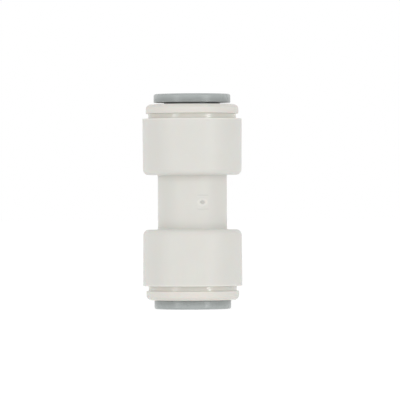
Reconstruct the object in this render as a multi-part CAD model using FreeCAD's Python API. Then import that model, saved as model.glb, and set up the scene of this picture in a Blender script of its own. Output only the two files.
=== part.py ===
import FreeCAD, Part
import math
import os

# A straight push-fit union that joins two plastic tubes of one size, end to end.
# It stands upright on its lower collet. Its axis is Z, and the origin is on the axis
# at the outer face of the lower collet.
#
# Both ends are alike. An end is worked out in a frame of its own, with height 0 at the
# middle of the body and height rising outwards. It is then turned and lifted to its place.
# A tube goes in through the collet and the O-ring and stops against the shoulder deep in
# the body. When the tube is pulled, its grip teeth draw the collet outwards, and the
# cone inside the end cap squeezes the collet's legs on to the tube.
#
# Lengths are in millimetres and angles in degrees.

# The tube, and how closely the pieces fit it. Clearances and bites are radial.
tube_diameter = 9.525
pilot_clearance = 0.0875
collet_bore_clearance = 0.1375
o_ring_bite = 0.16
tooth_bite = 0.14

# The body: two bells joined by a neck
waterway_diameter = 6.6
stop_web_length = 4.2
waterway_edge_bevel = 0.3
neck_length = 11.0
neck_wall = 2.1
neck_root_radius = 0.3
bell_length = 11.34
bell_wall = 1.1
bell_draft = 0.08
bell_floor = 1.7
bell_shoulder_radius = 1.1
bell_mouth_edge_bevel = 0.12
pilot_lead_in_length = 0.6
pilot_lead_in_width = 0.45

# The mark that the mould's gate left on the neck, turned from the front towards +X
gate_turn = 18.0
gate_flat_depth = 0.09
gate_flat_height = 2.8
gate_dish_radius = 0.8
gate_dish_depth = 0.12
gate_nub_radius = 0.33
gate_nub_height = 0.16

# The O-ring in its chamber
o_ring_cord = 2.4
o_ring_clearance = 0.02
chamber_play = 0.5

# The end cap
cap_wall = 1.88
cap_seat_clearance = 0.02
cap_lead_in_bevel = 0.3
cap_seat_bevel = 0.2
groove_width = 1.0
cap_flange_step = 0.45
cap_flange_thickness = 1.88
cap_flange_edge_radius = 0.75
cap_flange_under_bevel = 0.08
cap_mouth_bevel = 0.25

# The collet
collet_wall = 0.75
collet_clearance = 0.15
collet_ring_gap = 0.3
collet_head_length = 1.5
collet_head_step = 1.2
collet_tip_bevel = 0.2
cam_angle = 20.0
cam_gap = 0.12
collet_travel = 1.6
collet_flange_width = 2.08
collet_flange_thickness = 1.66
collet_hub_width = 0.55
collet_hub_step = 0.05
collet_rim_lift = 0.1
collet_rim_edge_radius = 0.45
collet_rim_under_bevel = 0.18
collet_mouth_radius = 0.8
upper_collet_proud = 0.3

# The collet's legs and their grip teeth
leg_count = 8
slot_width = 1.0
slot_run = 2.3
tooth_lean = 30.0
tooth_length = 1.82
tooth_thickness = 0.3
tooth_tip_inset = 0.45
tooth_bevel_length = 0.45
tooth_side_cover = 0.3

# Radii that follow from them
tube_radius = tube_diameter / 2
waterway_radius = waterway_diameter / 2
pilot_radius = tube_radius + pilot_clearance
neck_radius = pilot_radius + neck_wall
o_ring_inner_radius = tube_radius - o_ring_bite
o_ring_centre_radius = o_ring_inner_radius + o_ring_cord / 2
chamber_radius = o_ring_inner_radius + o_ring_cord + o_ring_clearance
collet_bore_radius = tube_radius + collet_bore_clearance
collet_barrel_radius = collet_bore_radius + collet_wall
collet_head_radius = collet_barrel_radius + collet_head_step
collet_hub_radius = collet_barrel_radius + collet_hub_width
collet_flange_radius = collet_barrel_radius + collet_flange_width
cap_throat_radius = collet_barrel_radius + collet_clearance
cap_bore_radius = collet_head_radius + collet_clearance
cap_shank_radius = cap_bore_radius + cap_wall
cap_flange_radius = cap_shank_radius + cap_flange_step
cap_seat_radius = cap_shank_radius + cap_seat_clearance
bell_mouth_radius = cap_seat_radius + bell_wall
bell_neck_radius = bell_mouth_radius - bell_draft

# Heights that follow from them, outwards from the middle of the body
stop_height = stop_web_length / 2
neck_half_length = neck_length / 2
chamber_floor_height = neck_half_length + bell_floor
o_ring_height = chamber_floor_height + o_ring_clearance + o_ring_cord / 2
cap_seat_height = chamber_floor_height + o_ring_cord + chamber_play
bell_mouth_height = neck_half_length + bell_length
cap_flange_height = bell_mouth_height + groove_width
cap_face_height = cap_flange_height + cap_flange_thickness
collet_tip_height = chamber_floor_height + o_ring_cord + collet_ring_gap
collet_cone_height = collet_tip_height + collet_head_length
collet_cone_end_height = collet_cone_height + collet_head_step / math.tan(math.radians(cam_angle))
cam_shift = collet_travel + cam_gap
throat_shift = cam_shift - collet_clearance / math.tan(math.radians(cam_angle))
cap_throat_height = collet_cone_end_height + throat_shift
cap_cone_length = (cap_bore_radius - cap_throat_radius) / math.tan(math.radians(cam_angle))
cap_cone_height = cap_throat_height - cap_cone_length
collet_hub_height = cap_face_height + collet_hub_step
collet_rim_height = cap_face_height + collet_rim_lift
collet_face_height = collet_rim_height + collet_flange_thickness
slot_end_height = collet_cone_end_height + slot_run
leg_pitch = 360 / leg_count

# The middle of the body, above the face that the fitting stands on
middle_height = collet_face_height

origin = FreeCAD.Vector(0, 0, 0)
axis_x = FreeCAD.Vector(1, 0, 0)
axis_y = FreeCAD.Vector(0, 1, 0)
axis_z = FreeCAD.Vector(0, 0, 1)


def towards(start, finish):
    """The unit vector from one point to another."""
    step = finish - start
    return step / step.Length


def corner(radius, height, rounding=0.0, bevel=0.0):
    """A corner of an outline, sharp unless it has a rounding's radius or a bevel's length along each side."""
    return radius, height, rounding, bevel


def turned_over(corners):
    """The same outline below height 0, in the order that carries it on round."""
    return [corner(radius, -height, rounding, bevel) for radius, height, rounding, bevel in reversed(corners)]


def closed_outline(corners):
    """A closed wire in the XZ half-plane whose roundings are arcs tangent to both sides."""
    points = [FreeCAD.Vector(radius, 0, height) for radius, height, rounding, bevel in corners]
    edges = []
    starts = []
    ends = []
    for index, (radius, height, rounding, bevel) in enumerate(corners):
        here = points[index]
        back = towards(here, points[index - 1])
        ahead = towards(here, points[(index + 1) % len(points)])
        half_angle = back.getAngle(ahead) / 2
        reach = bevel + rounding / math.tan(half_angle)
        starts.append(here + back * reach)
        ends.append(here + ahead * reach)
        if rounding:
            inwards = towards(origin, back + ahead)
            middle = here + inwards * (rounding / math.sin(half_angle) - rounding)
            edges.append(Part.Arc(starts[-1], middle, ends[-1]).toShape())
        if bevel:
            edges.append(Part.makeLine(starts[-1], ends[-1]))
    for index in range(len(corners)):
        edges.append(Part.makeLine(ends[index - 1], starts[index]))
    return Part.Wire(Part.__sortEdges__(edges))


def turned(corners, sweep=360.0):
    """The solid that an outline makes when it turns about the axis."""
    return Part.Face(closed_outline(corners)).revolve(origin, axis_z, sweep)


def body_half_outline():
    """The section of one half of the body, from the waterway's wall round to the neck."""
    pilot_mouth_radius = pilot_radius + pilot_lead_in_width
    pilot_end_height = chamber_floor_height - pilot_lead_in_length
    return [
        corner(waterway_radius, stop_height, bevel=waterway_edge_bevel),
        corner(pilot_radius, stop_height),
        corner(pilot_radius, pilot_end_height),
        corner(pilot_mouth_radius, chamber_floor_height),
        corner(chamber_radius, chamber_floor_height),
        corner(chamber_radius, cap_seat_height),
        corner(cap_seat_radius, cap_seat_height),
        corner(cap_seat_radius, bell_mouth_height, bevel=cap_seat_bevel),
        corner(bell_mouth_radius, bell_mouth_height, bevel=bell_mouth_edge_bevel),
        corner(bell_neck_radius, neck_half_length, rounding=bell_shoulder_radius),
        corner(neck_radius, neck_half_length, rounding=neck_root_radius),
    ]


def gate_mark():
    """What the gate mark takes out of the neck: a flat, and a shallow round dish with a nub left in it."""
    flat_y = neck_radius - gate_flat_depth
    flat_corner = FreeCAD.Vector(-neck_radius, -2 * neck_radius, -gate_flat_height / 2)
    flat = Part.makeBox(2 * neck_radius, 2 * neck_radius - flat_y, gate_flat_height, flat_corner)
    ball_radius = (gate_dish_radius ** 2 + gate_dish_depth ** 2) / (2 * gate_dish_depth)
    dish_floor_y = flat_y - gate_dish_depth
    ball = Part.makeSphere(ball_radius, FreeCAD.Vector(0, -dish_floor_y - ball_radius, 0))
    nub = Part.makeCylinder(
        gate_nub_radius, gate_dish_depth + gate_nub_height, origin, axis_y
    )
    nub.translate(FreeCAD.Vector(0, -dish_floor_y - gate_nub_height, 0))
    mark = flat.fuse(ball).cut(nub)
    mark.rotate(origin, axis_z, gate_turn)
    return mark


def body():
    """The one white moulding: bells, neck, waterway, tube stops, pilot bores, chambers and cap seats."""
    upper_half = body_half_outline()
    return turned(upper_half + turned_over(upper_half)).cut(gate_mark())


def o_ring():
    """A round-section ring that rests just clear of its chamber's floor."""
    return Part.makeTorus(
        o_ring_centre_radius, o_ring_cord / 2, FreeCAD.Vector(0, 0, o_ring_height), axis_z
    )


def end_cap():
    """The ring fixed into a bell: a shank on the seat, a flange outside, a cam cone and a throat inside."""
    return turned([
        corner(cap_bore_radius, cap_seat_height),
        corner(cap_shank_radius, cap_seat_height, bevel=cap_lead_in_bevel),
        corner(cap_shank_radius, cap_flange_height),
        corner(cap_flange_radius, cap_flange_height, bevel=cap_flange_under_bevel),
        corner(cap_flange_radius, cap_face_height, rounding=cap_flange_edge_radius),
        corner(cap_throat_radius, cap_face_height, bevel=cap_mouth_bevel),
        corner(cap_throat_radius, cap_throat_height),
        corner(cap_bore_radius, cap_cone_height),
    ])


def collet_blank():
    """The collet before its slots are cut: head and cam cone, barrel, and the flange that is pushed.

    A low hub under the flange meets the end cap's face, so the rim stays just clear of it.
    """
    return turned([
        corner(collet_bore_radius, collet_tip_height, bevel=collet_tip_bevel),
        corner(collet_head_radius, collet_tip_height, bevel=collet_tip_bevel),
        corner(collet_head_radius, collet_cone_height),
        corner(collet_barrel_radius, collet_cone_end_height),
        corner(collet_barrel_radius, cap_face_height),
        corner(collet_hub_radius, cap_face_height),
        corner(collet_hub_radius, collet_hub_height),
        corner(collet_flange_radius, collet_rim_height, bevel=collet_rim_under_bevel),
        corner(collet_flange_radius, collet_face_height, rounding=collet_rim_edge_radius),
        corner(collet_bore_radius, collet_face_height, rounding=collet_mouth_radius),
    ])


def leg_slot():
    """One slot between two legs, open at the legs' tips and round at its other end."""
    round_height = slot_end_height - slot_width / 2
    reach = 2 * collet_head_radius
    straight_corner = FreeCAD.Vector(0, -slot_width / 2, 0)
    straight = Part.makeBox(reach, slot_width, round_height, straight_corner)
    round_end = Part.makeCylinder(
        slot_width / 2, reach, FreeCAD.Vector(0, 0, round_height), axis_x
    )
    return straight.fuse(round_end)


def tooth():
    """A thin steel plate, part of a cone, whose sharp inner edge points down the socket."""
    lean = math.radians(tooth_lean)
    along_radius = math.cos(lean)
    along_height = math.sin(lean)
    across_radius = -tooth_thickness * along_height
    across_height = tooth_thickness * along_radius
    tip_radius = tube_radius - tooth_bite
    tip_height = collet_tip_height + tooth_tip_inset
    root_radius = tip_radius + tooth_length * along_radius
    root_height = tip_height + tooth_length * along_height
    bevel_radius = tip_radius + tooth_bevel_length * along_radius + across_radius
    bevel_height = tip_height + tooth_bevel_length * along_height + across_height
    slot_half_angle = math.degrees(math.asin(slot_width / 2 / collet_bore_radius))
    cover_angle = math.degrees(tooth_side_cover / collet_bore_radius)
    span = leg_pitch - 2 * (slot_half_angle + cover_angle)
    plate = turned([
        corner(tip_radius, tip_height),
        corner(root_radius, root_height),
        corner(root_radius + across_radius, root_height + across_height),
        corner(bevel_radius, bevel_height),
    ], span)
    plate.rotate(origin, axis_z, (leg_pitch - span) / 2)
    return plate


def collet_and_teeth():
    """The slotted collet, with a pocket in each leg for its tooth, and the teeth that fill the pockets."""
    collet = collet_blank()
    teeth = []
    for leg in range(leg_count):
        slot = leg_slot()
        slot.rotate(origin, axis_z, leg * leg_pitch)
        collet = collet.cut(slot)
    for leg in range(leg_count):
        plate = tooth()
        plate.rotate(origin, axis_z, leg * leg_pitch)
        collet = collet.cut(plate)
        teeth.append(plate)
    return collet, teeth


def upper_place(shape):
    """An end's piece in its place at the top."""
    placed = shape.copy()
    placed.translate(axis_z * middle_height)
    return placed


def lower_place(shape):
    """An end's piece in its place at the bottom, turned upside down."""
    placed = shape.copy()
    placed.rotate(origin, axis_x, 180)
    placed.translate(axis_z * middle_height)
    return placed


def write_node(name, shape):
    """One file for each piece, named after it."""
    shape.exportStep("parts/" + name + ".step")


os.makedirs("parts", exist_ok=True)
write_node("body", upper_place(body()))
collet, teeth = collet_and_teeth()
for end, place, proud in (("upper", upper_place, upper_collet_proud), ("lower", lower_place, 0)):
    outwards = axis_z * proud
    write_node(end + "_end_cap", place(end_cap()))
    write_node(end + "_o_ring", place(o_ring()))
    write_node(end + "_collet", place(collet.translated(outwards)))
    for number, plate in enumerate(teeth, start=1):
        write_node(end + "_tooth_" + str(number), place(plate.translated(outwards)))
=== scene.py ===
import bmesh
import bpy
import math
import numpy as np
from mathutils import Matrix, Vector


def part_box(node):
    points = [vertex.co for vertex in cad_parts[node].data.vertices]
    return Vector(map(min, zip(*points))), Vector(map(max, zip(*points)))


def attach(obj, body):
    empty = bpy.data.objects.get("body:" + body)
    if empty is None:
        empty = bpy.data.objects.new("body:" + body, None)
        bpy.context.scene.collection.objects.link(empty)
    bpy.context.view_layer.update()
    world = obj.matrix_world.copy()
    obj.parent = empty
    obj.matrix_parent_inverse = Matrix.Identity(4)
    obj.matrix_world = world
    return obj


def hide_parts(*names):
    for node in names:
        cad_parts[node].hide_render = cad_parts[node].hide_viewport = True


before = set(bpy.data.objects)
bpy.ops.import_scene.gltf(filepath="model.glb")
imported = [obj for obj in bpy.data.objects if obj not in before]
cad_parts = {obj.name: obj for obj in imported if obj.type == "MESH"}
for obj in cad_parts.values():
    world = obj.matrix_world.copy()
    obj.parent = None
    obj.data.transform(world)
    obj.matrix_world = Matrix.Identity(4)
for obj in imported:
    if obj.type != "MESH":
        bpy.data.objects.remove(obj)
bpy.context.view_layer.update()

# A push-fit union for plastic tube, white with grey collets, seen dead level from the front.
# Both ends are alike. A piece of an end is worked out in the end's own frame, where height 0
# is the middle of the body and height rises outwards, and is then set in its place.
# Lengths are in metres, and angles are in radians unless a name says degrees.

mm = 0.001
micron = 1e-6

# The size of the fitting before it is dressed, and the heights that place its ends
body_low, body_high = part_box("body")
upper_collet_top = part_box("upper_collet")[1].z
lower_collet_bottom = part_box("lower_collet")[0].z
middle_height = (body_low.z + body_high.z) / 2
upper_collet_proud = upper_collet_top - middle_height - (middle_height - lower_collet_bottom)

# Body
waterway_radius = 3.3 * mm
pilot_radius = 4.85 * mm
pilot_mouth_radius = 5.3 * mm
neck_radius = 6.95 * mm
chamber_radius = 7.0225 * mm
cap_seat_radius = 8.9 * mm
bell_mouth_radius = 10 * mm
bell_neck_radius = 9.92 * mm
stop_height = 2.1 * mm
neck_half_length = 5.5 * mm
pilot_end_height = 6.6 * mm
chamber_floor_height = 7.2 * mm
cap_seat_height = 10.1 * mm
bell_mouth_height = 16.84 * mm
neck_root_rounding = 0.3 * mm
bell_shoulder_rounding = 1.1 * mm
bell_mouth_rounding = 0.12 * mm
cap_seat_rounding = 0.25 * mm
waterway_edge_rounding = 0.35 * mm

# The mark that the mould's gate left on the neck: a flat, and in it a dish, a moat and a nub.
# A share is of the nub's radius.
front_degrees = -90
gate_turn_degrees = 18
gate_angle = math.radians(front_degrees + gate_turn_degrees)
gate_flat_radius = 6.86 * mm
gate_flat_half_height = 1.4 * mm
gate_step_width = 0.06 * mm
gate_dish_radius = 0.8 * mm
gate_dish_depth = 0.12 * mm
gate_nub_aside = -0.1 * mm
gate_nub_radius = 0.36 * mm
gate_nub_height = 0.16 * mm
gate_nub_flattening = 1.25
gate_nub_bluntness = 1.3
gate_nub_slope_share = 0.35
gate_moat_depth = 0.035 * mm
gate_moat_place_share = 1.25
gate_moat_width_share = 0.3

# End cap
cap_throat_radius = 5.8 * mm
cap_bore_radius = 7 * mm
cap_shank_radius = 8.88 * mm
cap_flange_radius = 9.33 * mm
cap_cone_height = 12.708 * mm
cap_throat_height = 16.005 * mm
cap_flange_height = 17.84 * mm
cap_face_height = 19.72 * mm
cap_flange_rounding = 1.0 * mm
cap_edge_rounding = 0.1 * mm
cap_mouth_rounding = 0.3 * mm
cap_lead_in_rounding = 0.35 * mm

# Collet
collet_bore_radius = 4.9 * mm
collet_barrel_radius = 5.65 * mm
collet_hub_radius = 5.75 * mm
collet_head_radius = 6.85 * mm
collet_flange_radius = 7.73 * mm
collet_tip_height = 9.9 * mm
collet_cone_height = 11.4 * mm
collet_cone_end_height = 14.697 * mm
collet_hub_height = 19.74 * mm
collet_rim_height = 19.75 * mm
collet_face_height = 21.48 * mm
collet_tip_rounding = 0.2 * mm
collet_rim_rounding = 0.42 * mm
collet_rim_under_rounding = 0.09 * mm
collet_hub_rounding = 0.008 * mm
collet_mouth_rounding = 0.8 * mm
leg_count = 8
slot_half_width = 0.5 * mm
slot_end_height = 16.997 * mm

# O-ring
o_ring_centre_radius = 5.8025 * mm
o_ring_cord_radius = 1.2 * mm
o_ring_height = 8.42 * mm
flash_height = 0.03 * mm
flash_half_width = 0.05 * mm

# What the moulded edges that look sharp are rounded by
edge_rounding = 0.05 * mm
crease_rounding = 0.08 * mm

# How finely the surfaces are drawn, how near two points are to be taken as one, and how far a
# collet's faces turn at an edge that stays sharp
arc_steps = 8
hold_distance = 0.06 * mm
steps_around = 240
gate_half_width = 1.5 * mm
gate_step = 0.045 * mm
leg_steps = 26
slot_round_steps = 10
flash_turn = 0.12
flash_steps = 12
cord_steps = 28
tolerance = 1 * micron
weld_distance = 0.1 * micron
height_decimals = 9
sharp_degrees = 35


def colour(red, green, blue):
    """A colour as a socket takes it, with nothing see-through."""
    return red, green, blue, 1.0


# Finish of both white plastics. The two colours of a finish are those that its noise runs between,
# its relief is the height that its bump stands for, and its patches are where its roughness changes.
white_plastic = {"IOR": 1.49, "Subsurface Weight": 0.12, "Subsurface Scale": 0.6 * mm}
mould_grain_size = 0.11 * mm
mould_grain_share = 0.6

# Finish of the moulding
moulding_colours = colour(0.718, 0.708, 0.665), colour(0.742, 0.732, 0.690)
moulding_cloud_size = 5 * mm
moulding_peel_size = 0.9 * mm
moulding_relief = 3 * micron
moulding_roughness = 0.38
moulding_roughness_spread = 0.08
moulding_patch_size = 2.5 * mm
# Painted light: the bell is coloured lighter within this reach of its mouth
mouth_painted_light = 0.12
mouth_light_reach = 0.45 * mm
# Painted shade: the neck is coloured darker within this reach of the bells
neck_end_painted_shade = 0.07
neck_end_reach = 1.8 * mm
seam_half_width = 0.06 * mm
seam_height = 12 * micron
# Colour of the gate mark: a darker scar over the nub, a halo of painted highlight round it, and painted
# shade at the flat's edges
gate_scar_darkening = 0.21
gate_scar_flattening = 1.35
gate_scar_bluntness = 1.5
gate_scar_start = 0.2 * mm
gate_scar_end = 0.66 * mm
gate_painted_halo = 0.08
gate_halo_start = 0.5 * mm
gate_halo_full = 0.8 * mm
gate_halo_fade = 0.95 * mm
gate_halo_end = 1.35 * mm
gate_edge_painted_shade = 0.08
gate_edge_half_width = 0.2 * mm
gate_edge_half_length = 1.05 * mm
gate_edge_end = 1.26 * mm
gate_front_reach = 1 * mm

# Finish of the end caps
cap_flange_colours = colour(0.754, 0.733, 0.682), colour(0.778, 0.756, 0.706)
# The shank's colours are darker than the flange's: painted shade for the groove that the shank lines
cap_shank_painted_shade_colours = colour(0.696, 0.678, 0.621), colour(0.721, 0.703, 0.646)
cap_cloud_size = 4 * mm
cap_peel_size = 0.8 * mm
cap_relief = 2.5 * micron
cap_shank_roughness = 0.16
cap_flange_roughness = 0.54
cap_roughness_spread = 0.06
cap_patch_size = 2 * mm
cap_polish_reach = 0.05 * mm
# Painted shade: the shank is coloured darker in the groove's corners, by the bell's mouth and under the
# flange
groove_painted_shade = 0.09
groove_shade_reach = 0.22 * mm
# Painted light: the flange is coloured lighter within this reach of the cap's face
cap_edge_painted_light = 0.22
cap_edge_light_reach = 0.55 * mm

# Finish of the collets
acetal = {"IOR": 1.48}
collet_colours = colour(0.360, 0.388, 0.383), colour(0.403, 0.429, 0.424)
collet_swirl_size = 2.5 * mm
collet_swirl_stretch = (1.0, 1.0, 3.0)
collet_grain_size = 0.14 * mm
collet_relief = 2 * micron
collet_roughness = 0.24
collet_roughness_spread = 0.08
collet_patch_size = 1.5 * mm
# Painted light at the collet's outer face and painted shade on the rim's side towards the cap
rim_painted_light = 0.07
rim_painted_shade = 0.17
rim_light_depth = 0.4 * mm
rim_shade_depth = 1.3 * mm

# Finish of the O-rings
nitrile = {"IOR": 1.5}
rubber_colours = colour(0.018, 0.018, 0.018), colour(0.04, 0.04, 0.042)
rubber_bloom_size = 1.2 * mm
rubber_grain_size = 0.08 * mm
rubber_relief = 4 * micron
rubber_roughness = 0.45
rubber_roughness_spread = 0.25

# Finish of the teeth
bare_metal = {"Metallic": 1.0}
steel_colours = colour(0.56, 0.55, 0.53), colour(0.68, 0.67, 0.65)
steel_brushing_size = 0.6 * mm
steel_brushing_stretch = (1.0, 12.0, 12.0)
steel_relief = 1.5 * micron
steel_roughness = 0.22
steel_roughness_spread = 0.16

# Camera
camera_distance = 950 * mm
camera_side = 1.53 * mm
camera_height = 21.91 * mm
camera_roll_degrees = 0.26
nearest_seen = camera_distance / 10
farthest_seen = 100 * camera_distance
image_width = 400
pixels_per_mm = 4.965
sensor_width_mm = 36

# Stage
pure_white = colour(1, 1, 1)
tent_level = 0.49
tent_overhead = 0.81
tent_behind_more = 0.04
tent_left_more = 0.1
left_softbox_turn_degrees = -46.0
left_softbox_width_degrees = 16.0
left_softbox_radiance = 4.0
right_softbox_turn_degrees = 43.8
right_softbox_width_degrees = 10.4
right_softbox_radiance = 9.1
softbox_distance = 1.0
softbox_mirrored_degrees = 8.0
softbox_top_degrees = 25.0
floor_half_width = 4.0
floor_clearance = 20 * micron
floor_colour = colour(0.9, 0.9, 0.9)
floor_light_near = 0.95
floor_light_far = 0.5
floor_light_reach = 400 * mm
floor_light_left = 0.2
floor_seen_strength = 1.2
floor_glow_share = 0.7
floor_gloss_roughness = 0.02
floor_gloss_ior = 1.49


# Meshes

def outline(corners):
    """The closed section through these corners, each a radius, a height and its rounding.

    A rounding is the arc tangent to both sides of its corner. Its centre lies on the corner's
    bisector, at the rounding over the sine of half the corner's angle, and its points turn
    evenly from one side to the other. A further point just past each end of an arc, at most a
    third of the way to the next one, keeps the stretch between them flat when it is shaded.
    """
    corners = np.array(corners, float)
    here = corners[:, :2]
    rounding = corners[:, 2:]
    back = np.roll(here, 1, axis=0) - here
    ahead = np.roll(here, -1, axis=0) - here
    back /= np.linalg.norm(back, axis=1, keepdims=True)
    ahead /= np.linalg.norm(ahead, axis=1, keepdims=True)
    half_angle = np.arccos((back * ahead).sum(axis=1, keepdims=True)) / 2
    reach = rounding / np.tan(half_angle)
    bisector = (back + ahead) / np.linalg.norm(back + ahead, axis=1, keepdims=True)
    centre = here + bisector * rounding / np.sin(half_angle)
    start = here + back * reach
    end = here + ahead * reach
    turn = (math.pi - 2 * half_angle)[:, None]
    share = np.linspace(0, 1, arc_steps + 1)[None, :, None]
    from_start = np.sin((1 - share) * turn) * (start - centre)[:, None]
    from_end = np.sin(share * turn) * (end - centre)[:, None]
    arcs = centre[:, None] + (from_start + from_end) / np.sin(turn)
    run = np.linalg.norm(np.roll(start, -1, axis=0) - end, axis=1, keepdims=True)
    hold = np.minimum(hold_distance, run / 3)
    before = (start + back * np.roll(hold, 1, axis=0))[:, None]
    after = (end + ahead * hold)[:, None]
    return np.concatenate([before, arcs, after], axis=1).reshape(-1, 2)


def mirrored(corners):
    """The same corners below height 0, in the order that carries the outline on round."""
    return [(radius, -height, rounding) for radius, height, rounding in reversed(corners)]


def with_rows(section, radius, heights):
    """The section with a point more at each of these heights, on its upright stretch at this radius.

    Every point has a place, its distance along the section. A height's place is that of the
    stretch's first point and the height above it, and the points are read off at all places.
    """
    closed = np.vstack([section, section[:1]])
    length = np.concatenate([[0], np.cumsum(np.linalg.norm(np.diff(closed, axis=0), axis=1))])
    upright = np.abs(closed[:, 0] - radius) < tolerance
    crosses_middle = (closed[:-1, 1] < 0) & (closed[1:, 1] > 0)
    first = np.flatnonzero(upright[:-1] & upright[1:] & crosses_middle)[0]
    added = length[first] + np.asarray(heights) - closed[first, 1]
    places = np.sort(np.concatenate([length[:-1], added]))
    return np.stack([np.interp(places, length, closed[:, side]) for side in (0, 1)], axis=1)


def grid_faces(index, closed_rows=True, closed_columns=True):
    """The four-sided faces of a grid of point numbers, closed either way round where asked."""
    rows = index.shape[0] if closed_rows else index.shape[0] - 1
    columns = index.shape[1] if closed_columns else index.shape[1] - 1
    right = np.roll(index, -1, axis=1)
    above = np.roll(index, -1, axis=0)
    beyond = np.roll(right, -1, axis=0)
    faces = np.stack([index, right, beyond, above], axis=-1)
    return faces[:rows, :columns].reshape(-1, 4)


def around(radius, angle, height):
    """Points at these radii, angles about the axis and heights.

    X is the radius times the angle's cosine, and Y the radius times its sine.
    """
    x = radius * np.cos(angle)
    y = radius * np.sin(angle)
    return np.stack(np.broadcast_arrays(x, y, height), axis=-1)


def revolved(section, angles):
    """A closed section carried round the axis: each of its points at each of these angles."""
    points = around(section[:, :1], angles, section[:, 1:])
    index = np.arange(len(section) * len(angles)).reshape(len(section), len(angles))
    return points, grid_faces(index)


def even_angles(steps):
    """Angles spaced evenly round the axis."""
    return np.arange(steps) * 2 * math.pi / steps


def in_place(points, end, proud=0.0):
    """Points of an end's frame in their place, this much further out along the axis.

    The lower end is the upper one turned over about X.
    """
    placed = points.reshape(-1, 3).copy()
    placed[:, 2] += proud
    if end == "lower":
        placed[:, 1:] *= -1
    placed[:, 2] += middle_height
    return placed


def piece(name, points, faces, body, finish, node, merge=False):
    """A smooth mesh that rides on a body, stands for a node and wears one finish."""
    mesh = bpy.data.meshes.new(name)
    mesh.from_pydata(points.tolist(), [], faces.tolist())
    mesh.shade_smooth()
    made = bpy.data.objects.new(name, mesh)
    bpy.context.scene.collection.objects.link(made)
    if merge:
        weld(mesh)
    mesh.materials.append(finish)
    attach(made, body)
    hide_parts(node)


def weld(mesh):
    """Joins the points that the parts of a mesh share, and keeps its sharp edges sharp."""
    work = bmesh.new()
    work.from_mesh(mesh)
    bmesh.ops.remove_doubles(work, verts=work.verts, dist=weld_distance)
    work.to_mesh(mesh)
    work.free()
    mesh.set_sharp_from_angle(angle=math.radians(sharp_degrees))


def rising(edge, width, value):
    """0 below an edge and 1 above it, with a smooth step of this width between.

    The step is three times the square of the share of its width that is passed, less twice the
    cube of that share.
    """
    share = np.clip((value - edge) / width + 0.5, 0, 1)
    return share * share * (3 - 2 * share)


def four_sided(across, height, flattening, bluntness):
    """The distance from a middle, whose even lines have four blunt sides and are wider than high.

    It raises the distance across, and the height times the flattening, to the power of the
    bluntness, adds them and takes the root. At 1 the lines are lozenges, and at 2 ellipses.
    It takes arrays for a mesh and values for a finish.
    """
    powers = abs(across) ** bluntness + (abs(height) * flattening) ** bluntness
    return powers ** (1 / bluntness)


def gate_depth(across, height):
    """How deep the gate mark goes below the neck, at a distance across from its middle and a height.

    The flat is the neck's radius less the flat's over the cosine of the angle. The dish is a
    paraboloid sunk in it, a little off its middle. The nub is a stub of four blunt sides that
    stands up out of the dish, and the moat round it is a bell curve of the same distance.
    """
    flat = neck_radius - gate_flat_radius / np.cos(across / neck_radius)
    in_height = rising(-gate_flat_half_height, gate_step_width, height)
    in_height *= rising(-gate_flat_half_height, gate_step_width, -height)
    off_middle = across - gate_nub_aside
    distance = np.hypot(off_middle, height)
    dish = gate_dish_depth * np.clip(1 - (distance / gate_dish_radius) ** 2, 0, None)
    from_nub = four_sided(off_middle, height, gate_nub_flattening, gate_nub_bluntness)
    off_moat = (from_nub / gate_nub_radius - gate_moat_place_share) / gate_moat_width_share
    moat = gate_moat_depth * np.exp(-off_moat ** 2)
    slope = gate_nub_slope_share * gate_nub_radius
    nub = gate_nub_height * rising(-gate_nub_radius, slope, -from_nub)
    return np.clip(flat, 0, None) * in_height + dish + moat - nub


def body_moulding(finish):
    """The white moulding: its section carried round the axis, pressed in where the gate was."""
    upper_half = [
        (neck_radius, neck_half_length, neck_root_rounding),
        (bell_neck_radius, neck_half_length, bell_shoulder_rounding),
        (bell_mouth_radius, bell_mouth_height, bell_mouth_rounding),
        (cap_seat_radius, bell_mouth_height, cap_seat_rounding),
        (cap_seat_radius, cap_seat_height, crease_rounding),
        (chamber_radius, cap_seat_height, edge_rounding),
        (chamber_radius, chamber_floor_height, crease_rounding),
        (pilot_mouth_radius, chamber_floor_height, edge_rounding),
        (pilot_radius, pilot_end_height, edge_rounding),
        (pilot_radius, stop_height, crease_rounding),
        (waterway_radius, stop_height, waterway_edge_rounding),
    ]
    gate_rows = np.arange(-gate_half_width, gate_half_width, gate_step)
    section = with_rows(outline(upper_half + mirrored(upper_half)), neck_radius, gate_rows)
    gate_span = gate_half_width / neck_radius
    near = np.arange(-gate_span, gate_span, gate_step / neck_radius)
    far = np.linspace(gate_span, 2 * math.pi - gate_span, steps_around, endpoint=False)
    offsets = np.concatenate([near, far])
    points, faces = revolved(section, gate_angle + offsets)
    across = np.where(offsets < math.pi, offsets, offsets - 2 * math.pi)[None, :] * neck_radius
    depth = gate_depth(across, section[:, 1:])
    on_neck = np.abs(section[:, :1] - neck_radius) < tolerance
    in_gate = on_neck & (np.abs(across) < gate_half_width)
    pressed = np.where(in_gate, np.clip(depth, 0, None), 0)
    points[..., :2] *= (1 - pressed / neck_radius)[..., None]
    placed = in_place(points, "upper")
    piece("body_moulding", placed, faces, "fitting", finish, "body")


def end_cap(end, finish):
    """The ring in a bell's mouth: shank, flange, cam cone and throat, its section carried round."""
    section = outline([
        (cap_shank_radius, cap_seat_height, cap_lead_in_rounding),
        (cap_shank_radius, cap_flange_height, crease_rounding),
        (cap_flange_radius, cap_flange_height, cap_edge_rounding),
        (cap_flange_radius, cap_face_height, cap_flange_rounding),
        (cap_throat_radius, cap_face_height, cap_mouth_rounding),
        (cap_throat_radius, cap_throat_height, crease_rounding),
        (cap_bore_radius, cap_cone_height, crease_rounding),
        (cap_bore_radius, cap_seat_height, cap_edge_rounding),
    ])
    points, faces = revolved(section, even_angles(steps_around))
    placed = in_place(points, end)
    name = end + "_end_cap"
    piece(name + "_ring", placed, faces, "fitting", finish, name)


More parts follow.
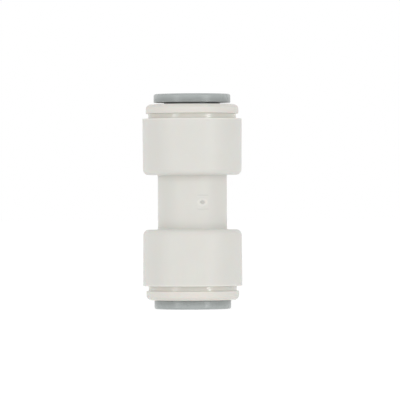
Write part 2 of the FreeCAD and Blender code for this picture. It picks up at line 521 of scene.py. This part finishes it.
def o_ring(end, finish):
    """A ring of round section whose radius swells by a thin line of flash inside and outside.

    The section's angle runs once round the cord. The flash is a bell curve of the distance along
    the cord's surface from the two places where the halves of its mould met.
    """
    at_flash = np.linspace(-flash_turn, flash_turn, flash_steps, endpoint=False)
    between = np.linspace(flash_turn, math.pi - flash_turn, cord_steps, endpoint=False)
    half_turn = np.concatenate([at_flash, between])
    turn = np.concatenate([half_turn, math.pi + half_turn])
    from_seam = np.abs(np.sin(turn)) * o_ring_cord_radius
    cord = o_ring_cord_radius + flash_height * np.exp(-((from_seam / flash_half_width) ** 2))
    radius = o_ring_centre_radius + cord * np.cos(turn)
    height = o_ring_height + cord * np.sin(turn)
    points, faces = revolved(np.stack([radius, height], axis=1), even_angles(steps_around))
    placed = in_place(points, end)
    name = end + "_o_ring"
    piece(name + "_seal", placed, faces, "fitting", finish, name)


def slot_half_width_at(height):
    """Half the slot's width: even up to the centre of its round end, then a half circle.

    Its square is the squared half width less the squared height above that centre.
    """
    above = np.clip(height - (slot_end_height - slot_half_width), 0, slot_half_width)
    return np.sqrt(np.clip(slot_half_width ** 2 - above ** 2, 0, None))


def leg_rows(section):
    """The radius and height of each row of a leg, and the pairs of rows that a slot's wall joins.

    The rows run from the tip up the outside, over the flange and down the inside. Up to the
    slots' ends, the outer and the inner rows have the same heights, those of both sides' points
    and of the round ends of the slots, so that the wall can join each two.
    """
    at_tip = np.flatnonzero(np.abs(section[:, 1] - collet_tip_height) < tolerance)
    tip = at_tip[np.argmax(section[at_tip, 0])]
    section = np.roll(section, -tip, axis=0)
    top = np.argmax(section[:, 1])
    outer = section[:top][section[:top, 1] < slot_end_height]
    rest = section[section[:, 1] > slot_end_height]
    inner = section[top:][section[top:, 1] < slot_end_height][::-1]
    round_turn = np.linspace(0, math.pi / 2, slot_round_steps + 1)
    round_end = slot_end_height - slot_half_width + slot_half_width * np.sin(round_turn)
    all_heights = np.concatenate([outer[:, 1], inner[:, 1], round_end])
    heights = np.unique(np.round(all_heights, height_decimals))
    outer_radius = np.interp(heights, outer[:, 1], outer[:, 0])
    inner_radius = np.interp(heights, inner[:, 1], inner[:, 0])
    radius = np.concatenate([outer_radius, rest[:, 0], inner_radius[::-1]])
    height = np.concatenate([heights, rest[:, 1], heights[::-1]])
    outer_rows = np.arange(heights.size)
    return radius, height, np.stack([outer_rows, height.size - 1 - outer_rows], axis=1)


def collet(end, proud, finish):
    """The collet: its section carried over each leg, between slots, and closed by the slots' walls.

    A leg is a grid. Its rows are the section's points, and its columns share out the angle that is
    left of the pitch once the slots have taken, on each side, the arcsine of their half width over
    the radius. Above the slots nothing is taken, so neighbouring legs meet there.
    """
    section = outline([
        (collet_head_radius, collet_tip_height, collet_tip_rounding),
        (collet_head_radius, collet_cone_height, crease_rounding),
        (collet_barrel_radius, collet_cone_end_height, crease_rounding),
        (collet_barrel_radius, cap_face_height, crease_rounding),
        (collet_hub_radius, cap_face_height, collet_hub_rounding),
        (collet_hub_radius, collet_hub_height, collet_hub_rounding),
        (collet_flange_radius, collet_rim_height, collet_rim_under_rounding),
        (collet_flange_radius, collet_face_height, collet_rim_rounding),
        (collet_bore_radius, collet_face_height, collet_mouth_rounding),
        (collet_bore_radius, collet_tip_height, collet_tip_rounding),
    ])
    radius, height, slot_wall = leg_rows(section)
    pitch = 2 * math.pi / leg_count
    half_leg = pitch / 2 - np.arcsin(slot_half_width_at(height) / radius)
    leg_middle = (np.arange(leg_count)[:, None, None] + 0.5) * pitch
    angle = leg_middle + half_leg[:, None] * np.linspace(-1, 1, leg_steps + 1)
    points = around(radius[:, None], angle, height[:, None])
    faces = []
    for leg in np.arange(angle.size).reshape(angle.shape):
        faces.append(grid_faces(leg, closed_columns=False))
        for wall in (leg[slot_wall, -1], leg[slot_wall[:, ::-1], 0]):
            faces.append(grid_faces(wall, closed_rows=False, closed_columns=False))
    placed = in_place(points, end, proud)
    faces = np.concatenate(faces)
    body = end + "_release_collet"
    name = end + "_collet"
    piece(name + "_ring", placed, faces, body, finish, name, merge=True)


# Finishes

class Value:
    """A number, colour or point that a finish works out. Arithmetic on numbers adds Math nodes."""

    def __init__(self, tree, socket):
        self.tree = tree
        self.socket = socket

    def math(self, operation, *numbers):
        """A Math node's result for these numbers."""
        settings = {"operation": operation}
        return add_node(self.tree, "ShaderNodeMath", settings, dict(enumerate(numbers)))

    def __add__(self, other):
        return self.math("ADD", self, other)

    __radd__ = __add__

    def __sub__(self, other):
        return self.math("SUBTRACT", self, other)

    def __rsub__(self, other):
        return self.math("SUBTRACT", other, self)

    def __mul__(self, other):
        return self.math("MULTIPLY", self, other)

    __rmul__ = __mul__

    def __truediv__(self, other):
        return self.math("DIVIDE", self, other)

    def __rtruediv__(self, other):
        return self.math("DIVIDE", other, self)

    def __pow__(self, other):
        return self.math("POWER", self, other)

    def __abs__(self):
        return self.math("ABSOLUTE", self)

    def at_most(self, other):
        """The smaller of the two."""
        return self.math("MINIMUM", self, other)


def add_node(tree, kind, settings=None, inputs=None, output=0):
    """Any node: its settings first, then a value or a link for each of its sockets."""
    node = tree.nodes.new(kind)
    for name, value in (settings or {}).items():
        setattr(node, name, value)
    for socket, value in (inputs or {}).items():
        if isinstance(value, Value):
            tree.links.new(value.socket, node.inputs[socket])
        else:
            node.inputs[socket].default_value = value
    return Value(tree, node.outputs[output]) if node.outputs else None


def new_finish(name):
    """A material with nothing in it yet, and the point on the piece that wears it."""
    material = bpy.data.materials.new(name)
    material.use_nodes = True
    material.node_tree.nodes.clear()
    return material, add_node(material.node_tree, "ShaderNodeTexCoord", output="Object")


def finished(material, base, roughness, normal, constants):
    """Closes a finish: its colour, roughness and normal over the surface, and its even values."""
    inputs = {"Base Color": base, "Roughness": roughness, "Normal": normal, **constants}
    shader = add_node(material.node_tree, "ShaderNodeBsdfPrincipled", inputs=inputs)
    add_node(material.node_tree, "ShaderNodeOutputMaterial", inputs={"Surface": shader})
    return material


def coordinates(point):
    """The three coordinates of a point or a direction."""
    split = add_node(point.tree, "ShaderNodeSeparateXYZ", inputs={0: point}).socket.node
    return [Value(point.tree, socket) for socket in split.outputs]


def stretched(point, stretch):
    """The point with its coordinates multiplied, so that a pattern runs along one of them."""
    settings = {"operation": "MULTIPLY"}
    return add_node(point.tree, "ShaderNodeVectorMath", settings, {0: point, 1: stretch})


def noise(point, size, detail, roughness=0.5):
    """Soft cloudy noise from 0 to 1 whose lumps are about this size."""
    inputs = {"Vector": point, "Scale": 1 / size, "Detail": detail, "Roughness": roughness}
    return add_node(point.tree, "ShaderNodeTexNoise", {"noise_dimensions": "3D"}, inputs)


def smooth_step(value, low, high):
    """0 below low and 1 above high, smooth between."""
    settings = {"interpolation_type": "SMOOTHSTEP"}
    inputs = {"Value": value, "From Min": low, "From Max": high, "To Min": 0.0, "To Max": 1.0}
    return add_node(value.tree, "ShaderNodeMapRange", settings, inputs)


def blend(share, first, second):
    """The second colour over the first, by this share."""
    inputs = {0: share, 6: first, 7: second}
    return add_node(share.tree, "ShaderNodeMix", {"data_type": "RGBA"}, inputs, output=2)


def shaded(base, light):
    """The colour, lighter above 1 and darker below it."""
    inputs = {"Red": light, "Green": light, "Blue": light}
    grey = add_node(light.tree, "ShaderNodeCombineColor", inputs=inputs)
    settings = {"data_type": "RGBA", "blend_type": "MULTIPLY"}
    return add_node(light.tree, "ShaderNodeMix", settings, {0: 1.0, 6: base, 7: grey}, output=2)


def bump(height, distance):
    """The surface's normal, tilted by a height from 0 to 1 that stands for this distance."""
    return add_node(height.tree, "ShaderNodeBump", inputs={"Height": height, "Distance": distance})


def radius_of(x, y):
    """Distance from the fitting's axis."""
    return (x * x + y * y) ** 0.5


def towards_gate(x, y):
    """How far a point lies from the axis towards the gate, and how far across from that way."""
    outwards = x * math.cos(gate_angle) + y * math.sin(gate_angle)
    across = y * math.cos(gate_angle) - x * math.sin(gate_angle)
    return outwards, across


def gate_painted_light(outwards, across, height):
    """How much lighter or darker the gate mark is coloured, with painted light and shade.

    The scar over the nub is coloured darker, a pale halo of painted highlight lies round it, and
    the upper and lower edges of the flat are faint lines of painted shade. The scar and the halo
    follow a four-sided distance, wider than it is high. None of it shows behind the axis.
    """
    from_scar = four_sided(across - gate_nub_aside, height, gate_scar_flattening, gate_scar_bluntness)
    scar = 1 - smooth_step(from_scar, gate_scar_start, gate_scar_end)
    halo = smooth_step(from_scar, gate_halo_start, gate_halo_full)
    halo = halo * (1 - smooth_step(from_scar, gate_halo_fade, gate_halo_end))
    edge = 1 - smooth_step(abs(abs(height) - gate_flat_half_height), 0.0, gate_edge_half_width)
    edge = edge * (1 - smooth_step(abs(across), gate_edge_half_length, gate_edge_end))
    # Painted highlight in the halo, painted shade at the flat's edges, and the darker scar
    light = halo * gate_painted_halo - scar * gate_scar_darkening - edge * gate_edge_painted_shade
    return light * smooth_step(outwards, 0.0, gate_front_reach)


def white_moulding():
    """White polypropylene: faint clouding, a fine spark-eroded mould surface, a seam and a gate."""
    material, point = new_finish("white_moulding")
    x, y, z = coordinates(point)
    outwards, across = towards_gate(x, y)
    height = z - middle_height
    base = blend(noise(point, moulding_cloud_size, detail=3.0), *moulding_colours)
    near_mouth = smooth_step(abs(height), bell_mouth_height - mouth_light_reach, bell_mouth_height)
    near_bell = smooth_step(abs(height), neck_half_length - neck_end_reach, neck_half_length)
    on_neck = 1 - smooth_step(radius_of(x, y), neck_radius, neck_radius + neck_root_rounding)
    # Painted light at the bell's mouth and painted shade at the neck's ends, both in the colour
    light = 1 + near_mouth * mouth_painted_light - near_bell * on_neck * neck_end_painted_shade
    # The gate mark's painted light and shade, on the neck only
    light = light + on_neck * gate_painted_light(outwards, across, height)
    grain = noise(point, mould_grain_size, detail=2.0)
    peel = noise(point, moulding_peel_size, detail=1.0)
    seam = 1 - smooth_step(abs(outwards), 0.0, seam_half_width)
    surface = grain * mould_grain_share + peel + seam * (seam_height / moulding_relief)
    patches = noise(point, moulding_patch_size, detail=4.0)
    roughness = moulding_roughness + patches * moulding_roughness_spread
    normal = bump(surface, moulding_relief)
    return finished(material, shaded(base, light), roughness, normal, white_plastic)


def white_cap():
    """The same plastic a shade warmer, matt on the flange and polished on the shank."""
    material, point = new_finish("white_cap")
    x, y, z = coordinates(point)
    height = abs(z - middle_height)
    clouds = noise(point, cap_cloud_size, detail=3.0)
    flange_colour = blend(clouds, *cap_flange_colours)
    shank_colour = blend(clouds, *cap_shank_painted_shade_colours)
    polish_end = cap_shank_radius + cap_polish_reach
    on_flange = smooth_step(radius_of(x, y), polish_end, cap_flange_radius)
    past_corner = smooth_step(height, bell_mouth_height, bell_mouth_height + groove_shade_reach)
    near_flange = smooth_step(height, cap_flange_height - groove_shade_reach, cap_flange_height)
    in_corner = (1 - past_corner + near_flange) * (1 - on_flange)
    near_face = smooth_step(height, cap_face_height - cap_edge_light_reach, cap_face_height)
    # Painted light towards the cap's face and painted shade in the groove's corners
    light = 1 + near_face * cap_edge_painted_light - in_corner * groove_painted_shade
    base = shaded(blend(on_flange, shank_colour, flange_colour), light)
    patches = noise(point, cap_patch_size, detail=4.0)
    roughness = cap_shank_roughness + on_flange * (cap_flange_roughness - cap_shank_roughness)
    roughness = roughness + patches * cap_roughness_spread
    grain = noise(point, mould_grain_size, detail=2.0)
    peel = noise(point, cap_peel_size, detail=1.0)
    normal = bump(grain * mould_grain_share + peel, cap_relief)
    return finished(material, base, roughness, normal, white_plastic)


def grey_collet():
    """Grey acetal: a faint swirl of pigment, a soft sheen, and painted light and shade on the rim."""
    material, point = new_finish("grey_collet")
    z = coordinates(point)[2]
    swirl = noise(stretched(point, collet_swirl_stretch), collet_swirl_size, detail=4.0, roughness=0.6)
    from_face = (z - lower_collet_bottom).at_most(upper_collet_top - z)
    # Painted light near the outer face, fading to painted shade from the rim's side by the cap inwards
    inwards = smooth_step(from_face, rim_light_depth, rim_shade_depth)
    light = 1 + rim_painted_light - inwards * (rim_painted_light + rim_painted_shade)
    base = shaded(blend(swirl, *collet_colours), light)
    patches = noise(point, collet_patch_size, detail=3.0)
    roughness = collet_roughness + patches * collet_roughness_spread
    normal = bump(noise(point, collet_grain_size, detail=3.0), collet_relief)
    return finished(material, base, roughness, normal, acetal)


def black_rubber():
    """Black nitrile rubber: a dull bloom over a finely ground mould surface."""
    material, point = new_finish("black_rubber")
    bloom = noise(point, rubber_bloom_size, detail=4.0, roughness=0.6)
    base = blend(bloom, *rubber_colours)
    roughness = rubber_roughness + bloom * rubber_roughness_spread
    normal = bump(noise(point, rubber_grain_size, detail=3.0), rubber_relief)
    return finished(material, base, roughness, normal, nitrile)


def tooth_steel():
    """Bright stamped stainless steel, brushed along the strip that it was cut from."""
    material, point = new_finish("tooth_steel")
    brushing = noise(stretched(point, steel_brushing_stretch), steel_brushing_size, detail=3.0)
    base = blend(brushing, *steel_colours)
    roughness = steel_roughness + brushing * steel_roughness_spread
    return finished(material, base, roughness, bump(brushing, steel_relief), bare_metal)


# Stage

def seen_directly(tree):
    """1 for what is seen straight, in a mirror or through glass, and 0 for light on things."""
    path = add_node(tree, "ShaderNodeLightPath").socket.node
    camera_ray = Value(tree, path.outputs["Is Camera Ray"])
    glossy_ray = Value(tree, path.outputs["Is Glossy Ray"])
    transmission_ray = Value(tree, path.outputs["Is Transmission Ray"])
    return (camera_ray + glossy_ray + transmission_ray).at_most(1.0)


def surroundings():
    """A white tent: pure white where it is seen, and as light brightest overhead.

    The light is a level at the horizon, plus a share of the direction's height for the roof, and
    smaller shares for what is behind and to the left.
    """
    world = bpy.data.worlds.new("white_tent")
    world.use_nodes = True
    tree = world.node_tree
    tree.nodes.clear()
    seen = seen_directly(tree)
    aside, away, up = coordinates(add_node(tree, "ShaderNodeTexCoord", output="Generated"))
    light = tent_level + up * (tent_overhead - tent_level)
    light = light + away * tent_behind_more - aside * tent_left_more
    inputs = {"Color": pure_white, "Strength": light + seen * (1 - light)}
    background = add_node(tree, "ShaderNodeBackground", inputs=inputs)
    add_node(tree, "ShaderNodeOutputWorld", inputs={"Surface": background})
    bpy.context.scene.world = world


def softbox(name, azimuth_degrees, width_degrees, radiance):
    """A lamp this far round from the camera, in two upright panels, one above the other.

    A panel's width and height are tangents of the angles that it fills as seen from the object,
    and its power is pi times its area times its radiance. Only the lower panel is mirrored, so
    that flat faces don't glare when seen from behind.
    """
    azimuth = math.radians(azimuth_degrees)
    width = 2 * softbox_distance * math.tan(math.radians(width_degrees) / 2)
    bottom, middle, top = [
        softbox_distance * math.tan(math.radians(degrees))
        for degrees in (-softbox_mirrored_degrees, softbox_mirrored_degrees, softbox_top_degrees)
    ]
    for panel, low, high in (("low", bottom, middle), ("high", middle, top)):
        lamp = bpy.data.lights.new(name + "_" + panel, "AREA")
        lamp.shape = "RECTANGLE"
        lamp.size = width
        lamp.size_y = high - low
        lamp.energy = radiance * math.pi * lamp.size * lamp.size_y
        made = bpy.data.objects.new(lamp.name, lamp)
        made.location = (
            softbox_distance * math.sin(azimuth),
            -softbox_distance * math.cos(azimuth),
            middle_height + (low + high) / 2,
        )
        made.rotation_euler = (math.pi / 2, 0, azimuth)
        made.visible_camera = False
        made.visible_glossy = panel == "low"
        bpy.context.scene.collection.objects.link(made)


def floor_finish():
    """Matt and glowing: white where it is seen, and as light brightest near the object.

    The nearness is one over the sum of one and the squared distance over the squared reach. A
    clear gloss, which the camera itself doesn't see, throws light that comes in at a slant on to
    the object.
    """
    material, point = new_finish("floor")
    tree = material.node_tree
    seen = seen_directly(tree)
    x, y = coordinates(point)[:2]
    nearness = 1 / (1 + (x * x + y * y) / floor_light_reach ** 2)
    light = floor_light_far + nearness * (floor_light_near - floor_light_far)
    light = light * (1 - x / floor_light_reach * nearness * floor_light_left)
    strength = light + seen * (floor_seen_strength - light)
    matt = add_node(tree, "ShaderNodeBsdfDiffuse", inputs={"Color": floor_colour})
    inputs = {"Color": pure_white, "Strength": strength}
    glow = add_node(tree, "ShaderNodeEmission", inputs=inputs)
    lit = add_node(tree, "ShaderNodeMixShader", inputs={0: floor_glow_share, 1: matt, 2: glow})
    inputs = {"Color": pure_white, "Roughness": floor_gloss_roughness}
    gloss = add_node(tree, "ShaderNodeBsdfGlossy", {"distribution": "GGX"}, inputs)
    sheen = add_node(tree, "ShaderNodeFresnel", inputs={"IOR": floor_gloss_ior})
    camera_ray = add_node(tree, "ShaderNodeLightPath", output="Is Camera Ray")
    inputs = {0: sheen * (1 - camera_ray), 1: lit, 2: gloss}
    polished = add_node(tree, "ShaderNodeMixShader", inputs=inputs)
    add_node(tree, "ShaderNodeOutputMaterial", inputs={"Surface": polished})
    return material


def floor():
    """A pale floor that is white where it is seen, but for the soft shadow of the object."""
    corners = np.array([(-1, -1, 0), (1, -1, 0), (1, 1, 0), (-1, 1, 0)]) * floor_half_width
    corners[:, 2] -= floor_clearance
    mesh = bpy.data.meshes.new("floor")
    mesh.from_pydata(corners.tolist(), [], [(0, 1, 2, 3)])
    mesh.materials.append(floor_finish())
    made = bpy.data.objects.new("floor", mesh)
    bpy.context.scene.collection.objects.link(made)


def camera():
    """Dead level with the middle of the object, and about as far off as the photograph's was."""
    lens = bpy.data.cameras.new("camera")
    lens.sensor_width = sensor_width_mm
    lens.lens = sensor_width_mm * camera_distance / mm * pixels_per_mm / image_width
    lens.clip_start = nearest_seen
    lens.clip_end = farthest_seen
    made = bpy.data.objects.new("camera", lens)
    made.location = (camera_side, -camera_distance, camera_height)
    made.rotation_euler = (math.pi / 2, math.radians(camera_roll_degrees), 0)
    bpy.context.scene.collection.objects.link(made)
    bpy.context.scene.camera = made


# Making

camera()
surroundings()
softbox("left_softbox", left_softbox_turn_degrees, left_softbox_width_degrees, left_softbox_radiance)
softbox("right_softbox", right_softbox_turn_degrees, right_softbox_width_degrees, right_softbox_radiance)
floor()

white = white_moulding()
warm_white = white_cap()
grey = grey_collet()
rubber = black_rubber()
steel = tooth_steel()

body_moulding(white)
for end, proud in (("upper", upper_collet_proud), ("lower", 0.0)):
    end_cap(end, warm_white)
    o_ring(end, rubber)
    collet(end, proud, grey)
for name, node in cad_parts.items():
    if "_tooth_" in name:
        node.data.materials[0] = steel

bpy.context.scene.view_settings.view_transform = "Standard"
bpy.context.view_layer.update()
